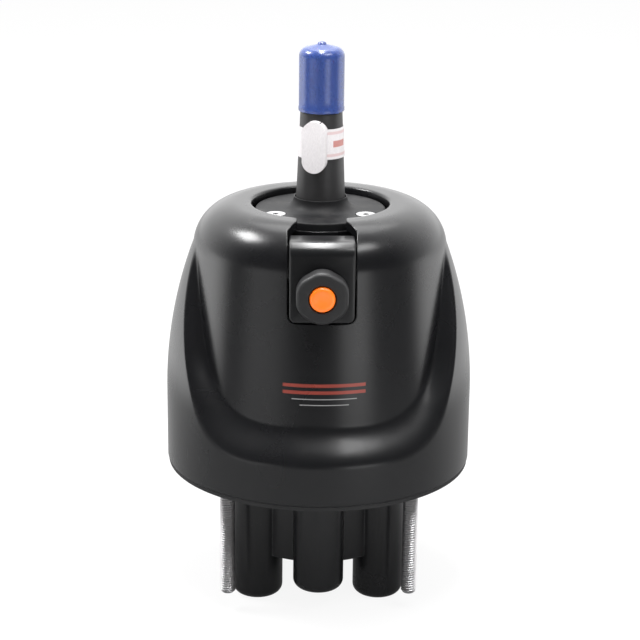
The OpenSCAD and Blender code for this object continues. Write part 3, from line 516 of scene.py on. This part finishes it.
nodeFinish = {
    castBlack: ["rear_housing", "rear_flange", "front_housing"],
    blockBlack: ["filler_block"],
    plugBlack: ["vent_plug"],
    ventOrange: ["vent_button"],
    retainerBlack: ["seal_retainer"],
    screwSteel: ["retainer_screws"],
    zincSteel: ["mounting_studs", "housing_screws", "cover_screws"],
    plugZinc: ["valve_plugs", "comp_plug"],
    gasketRubber: ["dash_gasket", "housing_seal", "vent_seal"],
    sealRubber: ["shaft_seal"],
    phosphateShaft: ["helm_shaft"],
    groundSteel: ["shaft_key", "bearing_outer", "bearing_inner", "bearing_balls", "swash_race", "pistons",
                  "lock_spool", "check_poppet_left", "check_poppet_right"],
    cageNylon: ["bearing_cage"],
    rotorSteel: ["cylinder_rotor", "swash_plate", "valve_seats"],
    springSteel: ["piston_springs", "check_spring_left", "check_spring_right"],
    plateBronze: ["valve_plate"],
    bushBrass: ["tail_bush"],
    labelPaper: ["shaft_label"],
    capVinyl: ["shaft_cap"],
    bellBlack: ["bell_cover"],
}
for finish, names in nodeFinish.items():
    for name in names:
        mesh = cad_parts[name].data
        mesh.materials.clear()
        mesh.materials.append(finish)
print("nodes finished", sum(len(names) for names in nodeFinish.values()))


# bell cover: a turned dome, pushed out into two side wings, with the filler slot cut in front

bell = {"radius": 61.0, "foot": 1.6, "footIn": 57.4, "footRound": 0.6, "skirt": 19.5, "shelf": 33.0, "domeFoot": 52.9,
        "domeTop": 50.0, "domeGap": 0.8, "shoulder": 88.5, "top": 106.0, "land": 32.5, "well": 27.0, "wellRound": 1.2,
        "wall": 3.5, "inside": 49.0, "floor": 12.0, "wingStart": 30.0, "wingArc": 170.0, "wingTop": 100.0,
        "skin": 49.4, "crown": 16.0, "lean": 21.0, "wallTurn": 112.0, "cornerRound": 24.0, "edgeAcross": -13.103,
        "edgeHeight": 35.0, "plain": 12.0, "innerRound": 36.0, "sideIn": 2.0, "sideOut": 0.5, "lowIn": 12.0,
        "lowOut": 2.5, "steps": 540, "sharp": 38}


def scoopDistance(x, y, z, edge, low, corner):  # from a scoop outline, below zero inside it
    turn, lean = math.radians(bell["wallTurn"]), math.radians(bell["lean"])
    u = -abs(x) * math.cos(turn) - abs(y) * math.sin(turn)
    cornerZ = low + corner
    slide = math.sin(lean) * (cornerZ - bell["edgeHeight"])
    cornerU = bell["edgeAcross"] + (edge - corner + slide) / math.cos(lean)
    du, dz = u - cornerU, z - cornerZ
    side = du * math.cos(lean) - dz * math.sin(lean) - corner
    below = -dz - corner
    if du > 0 and du * math.sin(lean) + dz * math.cos(lean) < 0:
        return math.hypot(du, dz) - corner
    return side if dz > 0 or side > below else below


def growWings(bm):  # the wall rises from an inner outline to the edge of the wing
    for v in bm.verts:
        x, y, z = v.co
        r = math.hypot(x, y)
        if z > bell["shoulder"]:
            outside = math.hypot(r - bell["land"], z - bell["shoulder"]) > bell["crown"]
        else:
            outside = r > bell["skin"]
        if not outside or z < bell["plain"] + 0.1 or z > bell["wingTop"]:
            continue
        rise = max(0.0, z - bell["wingStart"])
        wing = bell["radius"] - bell["wingArc"] + math.sqrt(bell["wingArc"] ** 2 - rise ** 2)
        inner = max(0.0, scoopDistance(x, y, z, -bell["sideIn"], bell["skirt"] + bell["lowIn"],
                                       bell["innerRound"]))
        outer = min(0.0, scoopDistance(x, y, z, bell["sideOut"], bell["skirt"] - bell["lowOut"],
                                       bell["cornerRound"]))
        share = inner / (inner - outer) if inner > 0 else 0.0
        share = share * share * (3 - 2 * share)
        out = r + share * max(0.0, wing - r)
        v.co.x, v.co.y = x * out / r, y * out / r


bm = bmesh.new()
fall = (bell["domeFoot"] - bell["domeTop"]) / (bell["shoulder"] - bell["shelf"])
domeStart = bell["plain"] + bell["domeGap"]
footOut = bell["radius"] - bell["footRound"]
wellOut = bell["well"] + bell["wellRound"]
pen = bm.verts.new((bell["footIn"], 0, bell["foot"]))
pen = penTo(bm, pen, footOut, bell["foot"])
pen = penArc(bm, pen, (footOut, bell["foot"] + bell["footRound"]), 90, 3)
pen = penTo(bm, pen, bell["radius"], bell["plain"], 7)
pen = penTo(bm, pen, bell["domeTop"] + fall * (bell["shoulder"] - domeStart), domeStart)
pen = penTo(bm, pen, bell["domeTop"], bell["shoulder"], 94)
pen = penArc(bm, pen, (bell["land"], bell["shoulder"]), 90, 30)
pen = penTo(bm, pen, wellOut, bell["top"], 2)
pen = penArc(bm, pen, (wellOut, bell["top"] - bell["wellRound"]), 90, 6)
pen = penTo(bm, pen, bell["well"], bell["top"] - bell["wall"])
pen = penTo(bm, pen, bell["land"], bell["top"] - bell["wall"])
pen = penArc(bm, pen, (bell["land"], bell["shoulder"]), -90, 8)
pen = penTo(bm, pen, bell["inside"], bell["floor"], 2)
pen = penTo(bm, pen, bell["footIn"], bell["floor"])
closeLoop(bm, bell["footIn"], bell["foot"], pen)
spinRound(bm, bell["steps"])
growWings(bm)
bmesh.ops.recalc_face_normals(bm, faces=bm.faces)
bellCover = rawPiece("bellCover", bm, bell["sharp"])

slot = {"half": 13.0, "low": 71.1, "high": 109.0, "near": 37.9, "deep": 40.0, "corner": 3.0, "neck": 9.3,
        "neckStart": 18, "flare": 31.0, "flareEnd": 38.5}
half, neck = slot["half"], slot["neck"]
bm = prism([(-half, slot["low"]), (half, slot["low"]), (half, slot["high"]), (-half, slot["high"])],
           slot["deep"], slot["near"])
feet = [e for e in bm.edges if all(abs(v.co.y - slot["low"]) < 0.01 for v in e.verts)
        and abs(e.verts[0].co.z - e.verts[1].co.z) > 1]
roundEdges(bm, feet, slot["corner"], 6)
cutAway(bellCover, rawPiece("slotCutter", place(bm, turn=(90, "X")), cutterSharp), bell["sharp"])
notch = prism([(-neck, -slot["neckStart"]), (neck, -slot["neckStart"]), (neck, -slot["flare"]),
               (half, -slot["flareEnd"]), (-half, -slot["flareEnd"]), (-neck, -slot["flare"])],
              slot["deep"], bell["shoulder"])
cutAway(bellCover, rawPiece("notchCutter", notch, cutterSharp), bell["sharp"])
fitPiece(bellCover, bellBlack, "housing", "bell_cover")
print("bell cover made", len(bellCover.data.polygons))


# filler block: the side outline pushed across, feet rounded, all edges softened, then bored

filler = {"height": 83.5, "face": 51.56, "pad": 44.56, "back": 38.5, "low": 71.9, "high": 102.5, "step": 95.5,
          "round": 5.4, "wide": 24.4, "foot": 2.4, "edge": 0.7, "bore": 7.55, "mouth": 8.75, "mouthEdge": 0.6,
          "boreFrom": 20, "boreTo": 70, "spigot": 9.6, "spigotDeep": 4.3, "spigotEdge": 0.5, "sharp": 35}


def faceFront(bm):  # drawn up Z, turned to the front at the height of the filler's bore
    return place(bm, move=(0, 0, filler["height"]), turn=(90, "X"))


bm = bmesh.new()
pen = bm.verts.new((filler["pad"], 0, filler["low"]))
pen = penTo(bm, pen, filler["face"], filler["low"])
pen = penTo(bm, pen, filler["face"], filler["high"] - filler["round"])
pen = penArc(bm, pen, (filler["face"] - filler["round"], filler["high"] - filler["round"]), 90, 14)
pen = penTo(bm, pen, filler["back"], filler["high"])
pen = penTo(bm, pen, filler["back"], filler["step"])
pen = penTo(bm, pen, filler["pad"], filler["step"])
closeLoop(bm, filler["pad"], filler["low"], pen)
side = bmesh.ops.contextual_create(bm, geom=bm.edges[:])["faces"]
pushOut(bm, side, (0, filler["wide"], 0))
feet = [e for e in bm.edges if all(abs(v.co.z - filler["low"]) < 0.01 for v in e.verts)
        and abs(e.verts[0].co.x - e.verts[1].co.x) > 1]
roundEdges(bm, feet, filler["foot"], 6)
soften(bm, filler["edge"], 4, 40)
place(bm, move=(0, -filler["wide"] / 2, 0))
place(bm, turn=(-90, "Z"))
deep, edge = filler["spigotDeep"], filler["spigotEdge"]
spigot = turned([(0, 0), (filler["spigot"] - edge, 0), (filler["spigot"], edge), (filler["spigot"], deep),
                 (0, deep)], 64)
spigot = faceFront(place(spigot, move=(0, 0, filler["pad"] - deep)))
fillerBlock = rawPiece("fillerBlock", gather(bm, spigot), filler["sharp"])
bore = turned([(0, filler["boreFrom"]), (filler["bore"], filler["boreFrom"]),
               (filler["bore"], filler["face"] - filler["mouthEdge"]),
               (filler["mouth"], filler["face"] + filler["mouthEdge"]),
               (filler["mouth"], filler["boreTo"]), (0, filler["boreTo"])], 96)
cutAway(fillerBlock, rawPiece("boreCutter", faceFront(bore), cutterSharp), filler["sharp"])
fitPiece(fillerBlock, blockBlack, "housing", "filler_block")
print("filler block made", len(fillerBlock.data.polygons))


# vent plug: hexagon with well rounded corners, threaded shank, and a pocket for the button

plug = {"flats": 19.5, "head": 6.4, "under": 53.16, "corner": 4.0, "rim": 1.7, "pocket": 5.15, "pocketMouth": 0.6,
        "sink": 3.0, "sharp": 32}
ventThread = {"radius": 7.5, "deep": 0.6, "pitch": 1.5, "from": 40.6, "to": 53.6, "steps": 40, "tip": 0.8,
              "tipAt": 40.6}
bm = bmesh.new()
bmesh.ops.create_circle(bm, cap_ends=True, radius=plug["flats"] / math.sqrt(3), segments=6)
pushOut(bm, bm.faces[:], (0, 0, plug["head"]))
corners = [e for e in bm.edges if abs(e.verts[0].co.z - e.verts[1].co.z) > 1]
roundEdges(bm, corners, plug["corner"], 8)
rim = [e for e in bm.edges if all(v.co.z > plug["head"] - 0.01 for v in e.verts)]
roundEdges(bm, rim, plug["rim"], 5)
place(bm, move=(0, 0, plug["under"]))
ventPlug = rawPiece("ventPlug", faceFront(gather(bm, threadRod(ventThread))), plug["sharp"])
top = plug["under"] + plug["head"]
sunk, mouth = top - plug["sink"], plug["pocket"] + plug["pocketMouth"]
pocket = turned([(0, sunk), (plug["pocket"], sunk), (plug["pocket"], top - 0.35), (mouth, top + 0.25),
                 (mouth, top + 3), (0, top + 3)], 96)
cutAway(ventPlug, rawPiece("pocketCutter", faceFront(pocket), cutterSharp), plug["sharp"])
fitPiece(ventPlug, plugBlack, "vent", "vent_plug")

button = {"radius": 4.8, "round": 1.3, "crest": 2.8, "rise": 0.8, "dish": 0.25, "dishOut": 2.1, "sharp": 45}
crown = top + button["rise"]
bm = bmesh.new()
pen = bm.verts.new((0, 0, sunk))
pen = penTo(bm, pen, button["radius"], sunk)
pen = penTo(bm, pen, button["radius"], crown - button["round"])
pen = penArc(bm, pen, (button["radius"] - button["round"], crown - button["round"]), 90, 8)
pen = penTo(bm, pen, button["crest"], crown - 0.06)
pen = penTo(bm, pen, button["dishOut"], crown - button["dish"])
pen = penTo(bm, pen, 0, crown - button["dish"] - 0.1)
ventButton = rawPiece("ventButton", faceFront(spinRound(bm, 96)), button["sharp"])
fitPiece(ventButton, ventOrange, "vent", "vent_button")
print("vent plug made", len(ventPlug.data.polygons) + len(ventButton.data.polygons))


# seal retainer: turned plate with a flared collar and three countersinks

retainer = {"low": 100.5, "face": 103.5, "out": 25.6, "rim": 0.6, "flare": 4.9, "collar": 10.45, "bore": 10.3,
            "lip": 10.0, "step": 105.9, "ring": 20.2, "screws": (-30, 90, 210), "hole": 2.05, "sink": 4.4,
            "sinkDeep": 2.3, "holeFrom": 90, "holeTo": 110, "sharp": 40}
flareOut, collarTop = retainer["collar"] + retainer["flare"], retainer["face"] + retainer["flare"]
bm = bmesh.new()
pen = bm.verts.new((retainer["bore"], 0, retainer["low"]))
pen = penTo(bm, pen, retainer["out"], retainer["low"])
pen = penTo(bm, pen, retainer["out"], retainer["face"] - retainer["rim"])
pen = penArc(bm, pen, (retainer["out"] - retainer["rim"], retainer["face"] - retainer["rim"]), 90, 5)
pen = penTo(bm, pen, flareOut, retainer["face"], 2)
pen = penArc(bm, pen, (flareOut, collarTop), -90, 12)
pen = penTo(bm, pen, retainer["lip"] + 0.1, collarTop)
pen = penTo(bm, pen, retainer["lip"], collarTop - 0.1)
pen = penTo(bm, pen, retainer["lip"], retainer["step"])
pen = penTo(bm, pen, retainer["bore"], retainer["step"])
closeLoop(bm, retainer["bore"], retainer["low"], pen)
sealRetainer = rawPiece("sealRetainer", spinRound(bm, 192), retainer["sharp"])
sinks = []
for angle in retainer["screws"]:
    hole = turned([(0, retainer["holeFrom"]), (retainer["hole"], retainer["holeFrom"]),
                   (retainer["hole"], retainer["face"] - retainer["sinkDeep"]),
                   (retainer["sink"], retainer["face"] + 0.05),
                   (retainer["sink"], retainer["holeTo"]), (0, retainer["holeTo"])], 48)
    place(hole, move=(retainer["ring"], 0, 0))
    sinks.append(place(hole, turn=(angle, "Z")))
cutAway(sealRetainer, rawPiece("sinkCutter", gather(*sinks), cutterSharp), retainer["sharp"])
fitPiece(sealRetainer, retainerBlack, "housing", "seal_retainer")
print("seal retainer made", len(sealRetainer.data.polygons))


# thread cap: thin turned vinyl with a rolled lip and a nub left by the dipping

cap = {"bore": 8.08, "lip": 8.93, "lipRound": 0.35, "lipTop": 1.5, "lipEnd": 1.9, "wall": 8.78, "low": 142.25,
       "mouth": 0.3, "top": 167.7, "crown": 0.7, "round": 3.6, "nub": 1.8, "tip": 168.85, "inside": 165.05,
       "sharp": 50}
roundFrom = cap["top"] - cap["crown"] - cap["round"]
bm = bmesh.new()
pen = bm.verts.new((cap["bore"], 0, cap["low"] + cap["mouth"]))
pen = penTo(bm, pen, cap["bore"] + 0.25, cap["low"])
pen = penTo(bm, pen, cap["lip"] - cap["lipRound"], cap["low"])
pen = penArc(bm, pen, (cap["lip"] - cap["lipRound"], cap["low"] + cap["lipRound"]), 90, 5)
pen = penTo(bm, pen, cap["lip"], cap["low"] + cap["lipTop"])
pen = penTo(bm, pen, cap["wall"], cap["low"] + cap["lipEnd"])
pen = penTo(bm, pen, cap["wall"], roundFrom, 5)
pen = penArc(bm, pen, (cap["wall"] - cap["round"], roundFrom), 82, 12)
pen = penTo(bm, pen, cap["nub"] + 0.8, cap["top"])
pen = penTo(bm, pen, cap["nub"], cap["top"] + 0.25)
pen = penTo(bm, pen, cap["nub"] - 0.25, cap["tip"] - 0.3)
pen = penTo(bm, pen, cap["nub"] - 0.7, cap["tip"])
pen = penTo(bm, pen, 0, cap["tip"] - 0.1)
pen = penTo(bm, pen, 0, cap["inside"])
pen = penTo(bm, pen, cap["bore"], cap["inside"])
closeLoop(bm, cap["bore"], cap["low"] + cap["mouth"], pen)
shaftCap = rawPiece("shaftCap", spinRound(bm, 128), cap["sharp"])
fitPiece(shaftCap, capVinyl, "cap", "shaft_cap")
print("thread cap made", len(shaftCap.data.polygons))


# studs: cut threads below the dash face and a plain root in the flange

stud = {"ring": 50.8, "angles": (45, 135, 225, 315), "radius": 3.0, "deep": 0.42, "pitch": 1.0, "from": -44.8,
        "to": 0.0, "steps": 28, "tip": 0.8, "tipAt": -44.8, "root": 2.75, "rootFrom": -0.5, "rootTo": 10.0,
        "rootEdge": 0.4, "sharp": 30}
rods = []
for angle in stud["angles"]:
    root = turned([(0, stud["rootFrom"]), (stud["root"], stud["rootFrom"]),
                   (stud["root"], stud["rootTo"] - stud["rootEdge"]),
                   (stud["root"] - stud["rootEdge"], stud["rootTo"]), (0, stud["rootTo"])], 32)
    rod = place(gather(threadRod(stud), root), move=(stud["ring"], 0, 0))
    rods.append(place(rod, turn=(angle, "Z")))
mountingStuds = rawPiece("mountingStuds", gather(*rods), stud["sharp"])
fitPiece(mountingStuds, zincSteel, "housing", "mounting_studs")
print("studs made", len(mountingStuds.data.polygons))


# check springs: coiled wire, drawn at one fixed length; the real spring shortens towards its plug as the poppet lifts

spring = {"coil": 3.7, "wire": 0.45, "from": 25.05, "to": 33.45, "turns": 4, "steps": 32, "sides": 10,
          "at": (0, 6.898, -20.0), "keep": 0.82, "sharp": 60}
coilSteps = spring["turns"] * spring["steps"]
coilRise = (spring["to"] - spring["from"] - 2 * spring["wire"]) / coilSteps
for side, sign in (("left", -1), ("right", 1)):
    bm = bmesh.new()
    start = Matrix.Translation((spring["coil"], 0, spring["from"] + spring["wire"]))
    start = start @ Matrix.Rotation(math.pi / 2, 4, "X")
    bmesh.ops.create_circle(bm, segments=spring["sides"], radius=spring["wire"], matrix=start)
    bmesh.ops.spin(bm, geom=bm.verts[:] + bm.edges[:], cent=(0, 0, 0), axis=(0, 0, 1),
                   angle=2 * math.pi * spring["turns"], steps=coilSteps, dvec=(0, 0, coilRise))
    bmesh.ops.holes_fill(bm, edges=[e for e in bm.edges if e.is_boundary], sides=0)
    bmesh.ops.recalc_face_normals(bm, faces=bm.faces)
    place(bm, move=spring["at"], turn=(90 * sign, "Y"))
    piece = rawPiece(side + "CheckSpring", bm, spring["sharp"])
    fitPiece(piece, springSteel, "housing", "check_spring_" + side)
    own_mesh(piece)
print("check springs made")


# stage and light

# floor glow levels for mirror rays only: light and dark cards by bearing, painted reflections on the part; the
# contact level dims the glow close under the part, a painted shadow
stageSet = {"floor": -0.0522, "spread": 6.0, "white": 0.9, "topUp": 0.9, "mirrorNear": 0.65, "near": 0.26, "far": 0.4,
            "contactShadow": 0.3, "under": 0.06, "clear": 0.16, "mirrorMost": 3.0,
            "mirror": {-180: 0.9, -150: 1.0, -125: 1.8, -105: 3.0, -95: 2.4, -84: 0.15, -72: 0.3, -58: 1.2, -38: 1.1,
                       -22: 0.3, -10: 0.08, 13: 0.08, 21: 2.2, 35: 2.8, 47: 0.3, 84: 0.2, 96: 2.0, 106: 2.4, 125: 1.6,
                       150: 1.0, 180: 0.9}}  # by bearing from the front
bm = bmesh.new()
bmesh.ops.create_grid(bm, x_segments=2, y_segments=2, size=stageSet["spread"])
bmesh.ops.translate(bm, vec=(0, 0, stageSet["floor"]), verts=bm.verts)
floorMesh = bpy.data.meshes.new("floor")
bm.to_mesh(floorMesh)
bm.free()
floor = bpy.data.objects.new("floor", floorMesh)
scene.collection.objects.link(floor)
# floor: evenly white to the camera; to mirror rays it glows with the cards below, painted reflections, and no lamp
# stands there
paleFloor, tree, shader = newFinish("paleFloor", Roughness=0.7)
shader.inputs["Base Color"].default_value = (stageSet["white"],) * 3 + (1.0,)
seen = add(tree, "LightPath").outputs
ground = add(tree, "SeparateXYZ", {0: objectPoint(tree)}).outputs
bearing = calc(tree, "ARCTAN2", ground[0], calc(tree, "MULTIPLY", ground[1], -1.0))
share = calc(tree, "MULTIPLY_ADD", bearing, 0.5 / math.pi, 0.5)
cards = add(tree, "ValToRGB", {0: share})  # light and dark cards round the part, for mirror rays only
stops = cards.color_ramp.elements
stops.remove(stops[1])
for degrees, level in stageSet["mirror"].items():
    at, tone = (degrees + 180) / 360, level / stageSet["mirrorMost"]
    stop = stops[0] if degrees == -180 else stops.new(at)
    stop.position, stop.color = at, (tone, tone, tone, 1)
acrossY = calc(tree, "MULTIPLY", ground[1], ground[1])
away = calc(tree, "SQRT", calc(tree, "MULTIPLY_ADD", ground[0], ground[0], acrossY))
outward = ramp(tree, away, stageSet["near"], stageSet["far"])
card = calc(tree, "MULTIPLY", cards.outputs[0], stageSet["mirrorMost"])
mirror = add(tree, "Mix", {"Factor": outward, 2: stageSet["mirrorNear"], 3: card}).outputs[0]
# painted contact shadow: the floor's mirror glow is dimmed close under the part
shadow = ramp(tree, away, stageSet["under"], stageSet["clear"], stageSet["contactShadow"], 1.0)
mirror = calc(tree, "MULTIPLY", mirror, shadow)
glossy = calc(tree, "MAXIMUM", seen["Is Glossy Ray"], seen["Is Transmission Ray"])
lit = calc(tree, "MAXIMUM", calc(tree, "MULTIPLY", seen["Is Camera Ray"], stageSet["topUp"]), glossy)
strength = add(tree, "Mix", {"Factor": seen["Is Camera Ray"], 2: mirror, 3: 1.0}).outputs[0]
glow = add(tree, "Emission", {"Strength": strength}).outputs[0]
blend = add(tree, "MixShader", {0: lit, 1: shader.outputs[0], 2: glow}).outputs[0]
tree.links.new(blend, tree.nodes["Material Output"].inputs["Surface"])
floorMesh.materials.append(paleFloor)

worldSet = {"ambient": 0.65, "front": 0.03, "back": 1.8, "from": -0.35, "to": 0.65}
world = bpy.data.worlds.new("studio")
world.use_nodes = True
scene.world = world
tree = world.node_tree
tree.nodes.clear()
seen = add(tree, "LightPath").outputs
around = add(tree, "SeparateXYZ", {0: add(tree, "TexCoord").outputs["Generated"]}).outputs
wall = ramp(tree, around[1], worldSet["from"], worldSet["to"], worldSet["front"], worldSet["back"])
ambient = add(tree, "Background", {"Strength": worldSet["ambient"]}).outputs[0]
white = add(tree, "Background", {"Strength": 1.0}).outputs[0]
mirrored = add(tree, "Background", {"Strength": wall}).outputs[0]
for shaderOut in (ambient, white, mirrored):
    shaderOut.node.inputs["Color"].default_value = (1, 1, 1, 1)
gloss = calc(tree, "MAXIMUM", seen["Is Glossy Ray"], seen["Is Transmission Ray"])
unseen = add(tree, "MixShader", {0: gloss, 1: ambient, 2: mirrored}).outputs[0]
whole = add(tree, "MixShader", {0: seen["Is Camera Ray"], 1: unseen, 2: white}).outputs[0]
tree.links.new(whole, tree.nodes.new("ShaderNodeOutputWorld").inputs["Surface"])


def softBox(name, light):
    data = bpy.data.lights.new(name, "AREA")
    data.shape = "RECTANGLE"
    data.size, data.size_y, data.energy = light["wide"], light["tall"], light["power"]
    box = bpy.data.objects.new(name, data)
    box.location = light["at"]
    box.rotation_euler = (Vector(light["aim"]) - Vector(light["at"])).to_track_quat("-Z", "Y").to_euler()
    scene.collection.objects.link(box)


lamps = {
    "keyRight": {"at": (0.45, -0.46, 0.95), "aim": (0, 0, 0.05), "wide": 0.55, "tall": 0.24, "power": 5.0},
    "hairLeft": {"at": (-0.62, 0.14, 0.80), "aim": (0, 0, 0.08), "wide": 0.32, "tall": 0.2, "power": 7.5},
    "overhead": {"at": (0.05, 0.55, 1.05), "aim": (0, 0, 0.06), "wide": 0.9, "tall": 0.5, "power": 3.5},
    "topStrip": {"at": (0.0, 0.0, 1.15), "aim": (0, 0.0, 0.08), "wide": 0.16, "tall": 1.0, "power": 20.0},
}
for name, lamp in lamps.items():
    softBox(name, lamp)
print("stage and light set")
